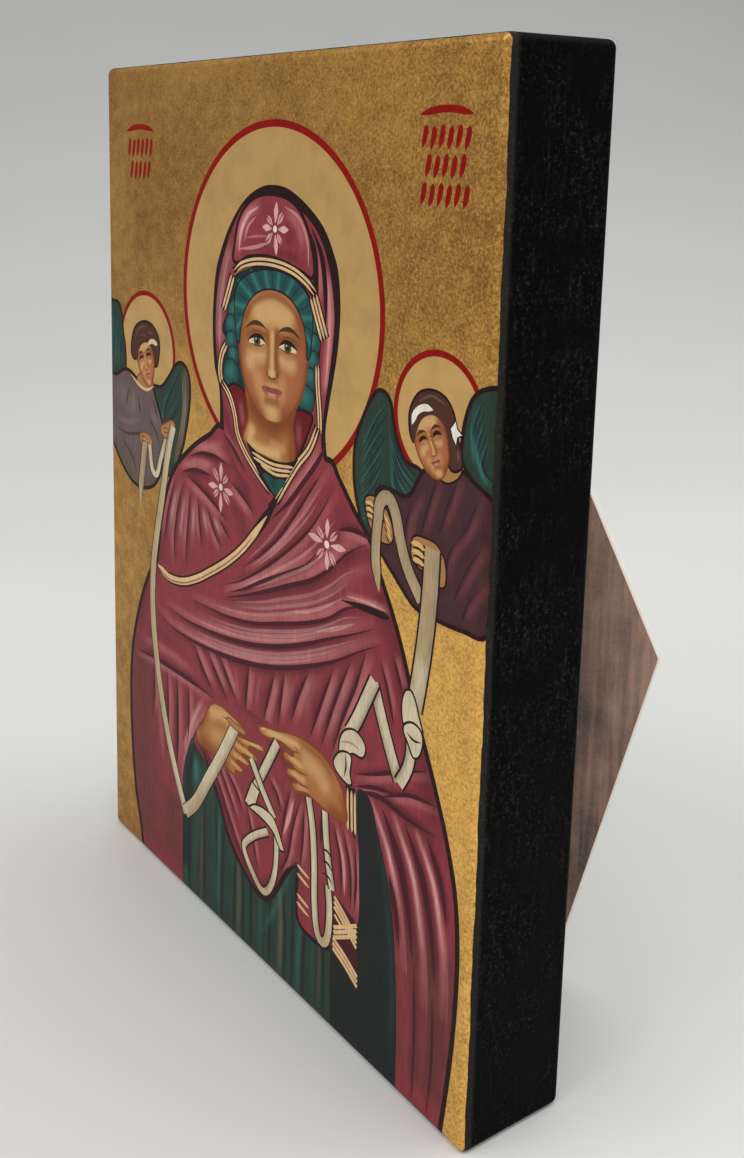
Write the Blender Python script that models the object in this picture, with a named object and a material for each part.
"""Painted and gilded icon panel on a thick rectangular board, with a thin strut
hinged upright on its back.

The frame is the board's own: the origin lies at the middle of the underside, +Z
goes up the panel and -Y points out of the painted front. Metres throughout.
"""
import math

import bmesh
import bpy
from mathutils import Vector

# Board
BOARD_WIDTH = 0.141
BOARD_HEIGHT = 0.200
BOARD_THICKNESS = 0.025
BOARD_EDGE_RADIUS = 0.0016

# Strut wing: a thin plate, wide at its elbow and narrower at its foot and top
WING_THICKNESS = 0.0018
WING_ARRIS = 0.00035
WING_CORNER_RADIUS = 0.0012
WING_SIDE_MARGIN = 0.0031
WING_TOP_MARGIN = 0.040
WING_FLOOR_GAP = 0.0006
WING_ELBOW_HEIGHT = 0.0784
WING_FOOT_REACH = 0.0486
WING_TOP_REACH = 0.0288
WING_OPENING = math.radians(32.0)

# Butt hinges
HINGE_LENGTH = 0.024
HINGE_END_MARGIN = 0.018
KNUCKLE_RADIUS = 0.0018
KNUCKLE_COUNT = 3
LEAF_THICKNESS = 0.0008
LEAF_WIDTH = 0.0105
PIN_RADIUS = 0.0008
PIN_HEAD_RADIUS = 0.0014
PIN_HEAD_LENGTH = 0.0005

# Screws into the board and rivets through the wing
FASTENER_OFFSET = 0.0068
FASTENER_END_MARGIN = 0.0048
SHANK_RADIUS = 0.0007
HEAD_RADIUS = 0.0015
HEAD_HEIGHT = 0.0007
SCREW_DEPTH = 0.0080
SLOT_WIDTH = 0.0004
SLOT_DEPTH = 0.0004
RIVET_TAIL_HEIGHT = 0.0004

# Fits
TOUCH_GAP = 0.0003
RUNNING_GAP = 0.0003
ROUND_SIDES = 32
SMALL_SIDES = 20
DOME_RINGS = 4
CUTTER_SPARE = 0.0010

# Places that follow from the sizes above
BOARD_BACK = BOARD_THICKNESS / 2
AXIS_Y = BOARD_BACK + TOUCH_GAP + KNUCKLE_RADIUS
WING_FACE = KNUCKLE_RADIUS - LEAF_THICKNESS - TOUCH_GAP
WING_ROOT = KNUCKLE_RADIUS + 2 * RUNNING_GAP
WING_REACH = BOARD_WIDTH / 2 - WING_SIDE_MARGIN
WING_TOP = BOARD_HEIGHT - WING_TOP_MARGIN
BORE_RADIUS = PIN_RADIUS + RUNNING_GAP
HOLE_RADIUS = SHANK_RADIUS + TOUCH_GAP
HINGE_BOTTOMS = (
    WING_FLOOR_GAP + HINGE_END_MARGIN,
    WING_TOP - HINGE_END_MARGIN - HINGE_LENGTH,
)
FASTENER_HEIGHTS = (FASTENER_END_MARGIN, HINGE_LENGTH - FASTENER_END_MARGIN)


def clear_scene():
    for thing in list(bpy.data.objects):
        bpy.data.objects.remove(thing, do_unlink=True)


def srgb(value):
    """Linear colour of an sRGB hex value such as "8a6d3b"."""
    parts = [int(value[i:i + 2], 16) / 255 for i in (0, 2, 4)]
    linear = [p / 12.92 if p <= 0.04045 else ((p + 0.055) / 1.055) ** 2.4 for p in parts]
    return (*linear, 1.0)


def finish(name, colour, roughness, metallic=0.0):
    made = bpy.data.materials.new(name)
    made.use_nodes = True
    shader = made.node_tree.nodes["Principled BSDF"]
    shader.inputs["Base Color"].default_value = srgb(colour)
    shader.inputs["Roughness"].default_value = roughness
    shader.inputs["Metallic"].default_value = metallic
    return made


def mesh_from(name, form):
    """Closes a bmesh into a mesh with its faces pointing out."""
    bmesh.ops.recalc_face_normals(form, faces=form.faces)
    mesh = bpy.data.meshes.new(name)
    form.to_mesh(mesh)
    form.free()
    return mesh


def place(name, mesh, material=None, location=(0, 0, 0), rotation=(0, 0, 0), parent=None):
    thing = bpy.data.objects.new(name, mesh)
    thing.location = location
    thing.rotation_euler = rotation
    thing.parent = parent
    bpy.context.scene.collection.objects.link(thing)
    if material:
        mesh.materials.clear()
        mesh.materials.append(material)
    return thing


def as_cutter(thing):
    thing.hide_render = True
    thing.display_type = "WIRE"
    return thing


def cut(thing, cutter):
    modifier = thing.modifiers.new("Cut " + cutter.name, "BOOLEAN")
    modifier.operation = "DIFFERENCE"
    modifier.solver = "EXACT"
    modifier.object = cutter


def round_smooth(mesh, angle=math.radians(35)):
    mesh.shade_smooth()
    mesh.set_sharp_from_angle(angle=angle)


def add_box(form, low, high):
    corners = [(x, y, z) for x in (low[0], high[0]) for y in (low[1], high[1]) for z in (low[2], high[2])]
    v = [form.verts.new(c) for c in corners]
    for face in ((0, 1, 3, 2), (4, 6, 7, 5), (0, 4, 5, 1), (2, 3, 7, 6), (0, 2, 6, 4), (1, 5, 7, 3)):
        form.faces.new([v[i] for i in face])


def add_turned(form, profile, centre=(0, 0, 0), sides=SMALL_SIDES, along="Z"):
    """Turns a profile of (radius, height) pairs; its first and last pairs lie on the axis."""
    to_world = {
        "Z": lambda x, y, h: (x, y, h),
        "Y": lambda x, y, h: (x, h, -y),
    }[along]
    place_at = Vector(centre)
    turns = [2 * math.pi * i / sides for i in range(sides)]
    rings = []
    for radius, height in profile:
        if radius == 0:
            rings.append([form.verts.new(place_at + Vector(to_world(0, 0, height)))])
            continue
        ring = [(radius * math.cos(t), radius * math.sin(t)) for t in turns]
        rings.append([form.verts.new(place_at + Vector(to_world(x, y, height))) for x, y in ring])
    for lower, upper in zip(rings, rings[1:]):
        for i in range(sides):
            j = (i + 1) % sides
            corners = [lower[i % len(lower)], lower[j % len(lower)], upper[j % len(upper)], upper[i % len(upper)]]
            form.faces.new(list(dict.fromkeys(corners)))


def rod(radius, low, high):
    return [(0, low), (radius, low), (radius, high), (0, high)]


def prism(loops, low, high):
    """A bmesh of the area inside the first loop and outside the others, extruded along Z."""
    form = bmesh.new()
    for loop in loops:
        verts = [form.verts.new((x, y, low)) for x, y in loop]
        for a, b in zip(verts, verts[1:] + verts[:1]):
            form.edges.new((a, b))
    bmesh.ops.triangle_fill(form, use_beauty=True, use_dissolve=False, edges=form.edges[:])
    raised = bmesh.ops.extrude_face_region(form, geom=form.faces[:])["geom"]
    lifted = [g for g in raised if isinstance(g, bmesh.types.BMVert)]
    bmesh.ops.translate(form, verts=lifted, vec=(0, 0, high - low))
    return form


def circle(radius, sides):
    turns = [2 * math.pi * i / sides for i in range(sides)]
    return [(radius * math.cos(t), radius * math.sin(t)) for t in turns]


def inset(points, distance):
    """A convex outline with every side moved inwards by the distance."""
    moved = []
    for i, point in enumerate(points):
        here = Vector(point)
        to_last = (Vector(points[i - 1]) - here).normalized()
        to_next = (Vector(points[(i + 1) % len(points)]) - here).normalized()
        half = to_last.angle(to_next) / 2
        moved.append(here + (to_last + to_next).normalized() * (distance / math.sin(half)))
    return moved


def filleted(points, radius, steps=4):
    """The closed outline with an arc of the given radius at every corner."""
    outline = []
    for i, point in enumerate(points):
        here = Vector(point)
        to_last = (Vector(points[i - 1]) - here).normalized()
        to_next = (Vector(points[(i + 1) % len(points)]) - here).normalized()
        half = to_last.angle(to_next) / 2
        centre = here + (to_last + to_next).normalized() * (radius / math.sin(half))
        start = here + to_last * (radius / math.tan(half)) - centre
        end = here + to_next * (radius / math.tan(half)) - centre
        turn = start.angle_signed(end)
        for step in range(steps + 1):
            angle = math.atan2(start.y, start.x) - turn * step / steps
            outline.append((centre.x + radius * math.cos(angle), centre.y + radius * math.sin(angle)))
    return outline


def eased_plate(corners, radius, arris, thickness):
    """A bmesh plate standing in XZ from y = 0 to -thickness, its outline's arrises chamfered."""
    form = bmesh.new()
    levels = ((0, arris), (-arris, 0), (arris - thickness, 0), (-thickness, arris))
    rings = []
    for depth, step_in in levels:
        outline = filleted(inset(corners, step_in), radius - step_in)
        rings.append([form.verts.new((x, depth, z)) for x, z in outline])
    for near, far in zip(rings, rings[1:]):
        for i in range(len(near)):
            j = (i + 1) % len(near)
            form.faces.new((near[i], near[j], far[j], far[i]))
    form.faces.new(rings[0])
    form.faces.new(rings[-1])
    return form


def make_board(paint):
    """The solid board, every edge rounded over, with blind holes for the hinge screws."""
    form = bmesh.new()
    half = BOARD_WIDTH / 2
    add_box(form, (-half, -BOARD_BACK, 0), (half, BOARD_BACK, BOARD_HEIGHT))
    board = place("panel_board", mesh_from("panel_board", form), paint)
    rounding = board.modifiers.new("Rounded edges", "BEVEL")
    rounding.width = BOARD_EDGE_RADIUS
    rounding.segments = 4
    rounding.limit_method = "NONE"
    rounding.harden_normals = False

    holes = bmesh.new()
    for bottom in HINGE_BOTTOMS:
        for height in FASTENER_HEIGHTS:
            profile = rod(HOLE_RADIUS, -SCREW_DEPTH - TOUCH_GAP, CUTTER_SPARE)
            add_turned(holes, profile, (-FASTENER_OFFSET, BOARD_BACK, bottom + height), along="Y")
    cut(board, as_cutter(place("screw_holes", mesh_from("screw_holes", holes))))
    round_smooth(board.data)
    return board


def make_axis():
    """The hinge axis, turned by the angle at which the wing stands open."""
    axis = bpy.data.objects.new("strut_axis", None)
    axis.location = (0, AXIS_Y, 0)
    axis.rotation_euler = (0, 0, WING_OPENING)
    bpy.context.scene.collection.objects.link(axis)
    return axis


def make_wing(stain, axis):
    """The strut plate, modelled closed: it lies along +X, its face towards the board."""
    corners = [
        (WING_ROOT, WING_FLOOR_GAP),
        (WING_FOOT_REACH, WING_FLOOR_GAP),
        (WING_REACH, WING_ELBOW_HEIGHT),
        (WING_TOP_REACH, WING_TOP),
        (WING_ROOT, WING_TOP),
    ]
    form = eased_plate(corners, WING_CORNER_RADIUS, WING_ARRIS, WING_THICKNESS)
    bmesh.ops.translate(form, verts=form.verts, vec=(0, WING_FACE, 0))
    wing = place("strut_wing", mesh_from("strut_wing", form), stain, parent=axis)

    holes = bmesh.new()
    for bottom in HINGE_BOTTOMS:
        for height in FASTENER_HEIGHTS:
            profile = rod(HOLE_RADIUS, -WING_THICKNESS - CUTTER_SPARE, CUTTER_SPARE)
            add_turned(holes, profile, (FASTENER_OFFSET, WING_FACE, bottom + height), along="Y")
    cut(wing, as_cutter(place("rivet_holes", mesh_from("rivet_holes", holes), parent=axis)))
    return wing


def leaf_outline():
    """A hinge leaf seen from its end: a plate running to -X out of the knuckle's near side."""
    inner = -KNUCKLE_RADIUS + LEAF_THICKNESS
    meets = math.asin(inner / KNUCKLE_RADIUS)
    sweep = 1.5 * math.pi - meets
    arc = [-math.pi / 2 + sweep * i / ROUND_SIDES for i in range(ROUND_SIDES + 1)]
    round_part = [(KNUCKLE_RADIUS * math.cos(a), KNUCKLE_RADIUS * math.sin(a)) for a in arc]
    return round_part + [(-LEAF_WIDTH, inner), (-LEAF_WIDTH, -KNUCKLE_RADIUS)]


def make_leaf(name, metal, kept_knuckles, bottom, parent=None, location=(0, 0, 0), turn=0.0):
    """One leaf with its own knuckles; the other leaf's knuckles turn in its notches."""
    form = prism([leaf_outline(), circle(BORE_RADIUS, SMALL_SIDES)], 0, HINGE_LENGTH)
    where = (location[0], location[1], bottom)
    leaf = place(name, mesh_from(name, form), metal, where, (0, 0, turn), parent)
    pitch = HINGE_LENGTH / KNUCKLE_COUNT
    gaps = bmesh.new()
    for i in range(KNUCKLE_COUNT):
        if i in kept_knuckles:
            continue
        low = i * pitch - (RUNNING_GAP / 2 if i else CUTTER_SPARE)
        high = (i + 1) * pitch + (RUNNING_GAP / 2 if i < KNUCKLE_COUNT - 1 else CUTTER_SPARE)
        past = KNUCKLE_RADIUS + CUTTER_SPARE
        add_box(gaps, (-KNUCKLE_RADIUS - RUNNING_GAP, -past, low), (past, past, high))
    for height in FASTENER_HEIGHTS:
        profile = rod(HOLE_RADIUS, -CUTTER_SPARE, LEAF_THICKNESS + CUTTER_SPARE)
        add_turned(gaps, profile, (-FASTENER_OFFSET, -KNUCKLE_RADIUS, height), along="Y")
    cutter = place(name + "_gaps", mesh_from(name + "_gaps", gaps), None, where, (0, 0, turn), parent)
    cut(leaf, as_cutter(cutter))
    round_smooth(leaf.data)
    return leaf


def dome(base, radius, height, rings=DOME_RINGS):
    """Profile pairs of a low domed head from its rim at base up to the axis."""
    turns = [math.pi / 2 * i / rings for i in range(rings)]
    return [(radius * math.cos(t), base + height * math.sin(t)) for t in turns] + [(0, base + height)]


def pin_mesh():
    reach = TOUCH_GAP + PIN_HEAD_LENGTH
    profile = [
        (0, -reach),
        (PIN_HEAD_RADIUS, -reach),
        (PIN_HEAD_RADIUS, -TOUCH_GAP),
        (PIN_RADIUS, -TOUCH_GAP),
        (PIN_RADIUS, HINGE_LENGTH + TOUCH_GAP),
        (PIN_HEAD_RADIUS, HINGE_LENGTH + TOUCH_GAP),
        (PIN_HEAD_RADIUS, HINGE_LENGTH + reach),
        (0, HINGE_LENGTH + reach),
    ]
    form = bmesh.new()
    add_turned(form, profile)
    mesh = mesh_from("hinge_pin", form)
    round_smooth(mesh)
    return mesh


def screw_mesh():
    """A slotted screw: its head sits over the leaf, its shank goes down -Y into the board."""
    under_head = TOUCH_GAP
    depth = LEAF_THICKNESS + TOUCH_GAP + SCREW_DEPTH
    profile = [(0, -depth), (SHANK_RADIUS, -depth + SHANK_RADIUS), (SHANK_RADIUS, under_head)]
    form = bmesh.new()
    add_turned(form, profile + dome(under_head, HEAD_RADIUS, HEAD_HEIGHT), along="Y")
    screw = place("screw_blank", mesh_from("screw_blank", form))
    top = under_head + HEAD_HEIGHT
    slot = bmesh.new()
    past = HEAD_RADIUS + CUTTER_SPARE
    add_box(slot, (-past, top - SLOT_DEPTH, -SLOT_WIDTH / 2), (past, top + CUTTER_SPARE, SLOT_WIDTH / 2))
    slotter = place("screw_slot", mesh_from("screw_slot", slot))
    cut(screw, slotter)
    bpy.context.view_layer.update()
    mesh = bpy.data.meshes.new_from_object(screw.evaluated_get(bpy.context.evaluated_depsgraph_get()))
    for thing in (screw, slotter):
        bpy.data.objects.remove(thing, do_unlink=True)
    round_smooth(mesh)
    return mesh


def rivet_mesh():
    """A rivet through leaf and wing: domed over the leaf, flattened on the wing's face."""
    through = LEAF_THICKNESS + 2 * TOUCH_GAP + WING_THICKNESS
    profile = [
        (0, -through - RIVET_TAIL_HEIGHT),
        (HEAD_RADIUS, -through - RIVET_TAIL_HEIGHT),
        (HEAD_RADIUS, -through),
        (SHANK_RADIUS, -through),
        (SHANK_RADIUS, TOUCH_GAP),
    ]
    form = bmesh.new()
    add_turned(form, profile + dome(TOUCH_GAP, HEAD_RADIUS, HEAD_HEIGHT), along="Y")
    mesh = mesh_from("wing_rivet", form)
    round_smooth(mesh)
    return mesh


def make_hinge(label, bottom, axis, metal, meshes):
    """A butt hinge: board leaf, wing leaf, pin, two screws and two rivets."""
    last = KNUCKLE_COUNT - 1
    board_knuckles = range(0, last + 1, 2)
    wing_knuckles = range(1, last + 1, 2)
    make_leaf(f"{label}_hinge_board_leaf", metal, board_knuckles, bottom, None, (0, AXIS_Y, 0))
    make_leaf(f"{label}_hinge_wing_leaf", metal, wing_knuckles, bottom, axis, turn=math.pi)
    pin, screw, rivet = meshes
    place(f"{label}_hinge_pin", pin, metal, (0, AXIS_Y, bottom))
    leaf_top = -KNUCKLE_RADIUS + LEAF_THICKNESS
    for place_name, height in zip(("lower", "upper"), FASTENER_HEIGHTS):
        at = (-FASTENER_OFFSET, AXIS_Y + leaf_top, bottom + height)
        place(f"{label}_hinge_{place_name}_screw", screw, metal, at)
        at = (FASTENER_OFFSET, KNUCKLE_RADIUS, bottom + height)
        place(f"{label}_hinge_{place_name}_rivet", rivet, metal, at, parent=axis)


def main():
    clear_scene()
    paint = finish("black_paint", "16130f", 0.45)
    stain = finish("stained_strut", "7a574c", 0.55)
    metal = finish("hinge_brass", "b08d4c", 0.38, 1.0)
    make_board(paint)
    axis = make_axis()
    make_wing(stain, axis)
    meshes = (pin_mesh(), screw_mesh(), rivet_mesh())
    for label, bottom in zip(("lower", "upper"), HINGE_BOTTOMS):
        make_hinge(label, bottom, axis, metal, meshes)


main()
